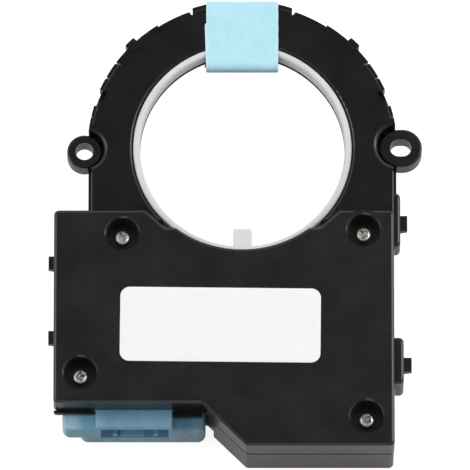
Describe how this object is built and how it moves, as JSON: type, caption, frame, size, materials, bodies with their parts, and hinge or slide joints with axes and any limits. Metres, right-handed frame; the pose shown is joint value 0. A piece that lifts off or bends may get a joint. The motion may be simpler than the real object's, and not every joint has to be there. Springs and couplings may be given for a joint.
{
  "type": "steering angle sensor",
  "caption": "Flat black sensor housing with a ring round the steering shaft, a white rotor in its bore, two mounting ears, a side connector and a blank label.",
  "frame": {"origin": "on the rotor axis, at the height of the case floor", "axes": "+X to the right of the label, +Y from the case to the ring, +Z out of the label along the steering shaft"},
  "size_m": [0.0935, 0.1175, 0.0211],
  "materials": {
    "housing": "semi-gloss moulded black plastic",
    "rotor": "natural white moulded plastic",
    "gears": "natural white moulded plastic",
    "magnet": "grey sintered magnet",
    "tray": "dark moulded plastic",
    "board": "green board lacquer",
    "chip": "black chip resin",
    "ceramic_part": "tan ceramic",
    "can": "bright can",
    "connector": "blue-grey moulded plastic, slightly translucent",
    "pin": "tinned brass",
    "screw": "bright plated steel",
    "label": "white film label, without print",
    "tape": "pale blue film tape, without print"
  },
  "bodies": {
    "housing": {"rear_case": "housing", "front_cover": "housing", "gear_tray": "tray", "circuit_board": "board", "angle_chip_a": "chip", "angle_chip_b": "chip", "controller_chip": "chip", "bus_chip": "chip", "voltage_regulator": "chip", "resonator": "ceramic_part", "capacitor_1": "ceramic_part", "capacitor_2": "ceramic_part", "capacitor_3": "ceramic_part", "supply_capacitor": "can", "connector_shell": "connector", "cover_screws": "screw", "label": "label", "transit_tape": "tape", "connector_pin_1": "pin", "connector_pin_2": "pin", "connector_pin_3": "pin", "connector_pin_4": "pin", "connector_pin_5": "pin", "connector_pin_6": "pin", "connector_pin_7": "pin", "connector_pin_8": "pin"},
    "rotor": {"rotor": "rotor"},
    "gear_a": {"measuring_gear_a": "gears", "magnet_a": "magnet"},
    "gear_b": {"measuring_gear_b": "gears", "magnet_b": "magnet"}
  },
  "joints": [
    {"name": "rotor_turn", "type": "hinge", "parent": "housing", "child": "rotor", "pos_m": [0, 0, 0.0145], "axis": [0, 0, 1], "range_deg": [-145, 145]},
    {"name": "gear_a_turn", "type": "hinge", "parent": "housing", "child": "gear_a", "pos_m": [-0.01276, -0.03928, 0.0129], "axis": [0, 0, 1], "range_deg": [-469, 469]},
    {"name": "gear_b_turn", "type": "hinge", "parent": "housing", "child": "gear_b", "pos_m": [0.01299, -0.03999, 0.0129], "axis": [0, 0, 1], "range_deg": [-436, 436]}
  ],
  "couplings": [
    {"joint": "gear_a_turn", "follows": "rotor_turn", "ratio": -3.2308},
    {"joint": "gear_b_turn", "follows": "rotor_turn", "ratio": -3}
  ]
}
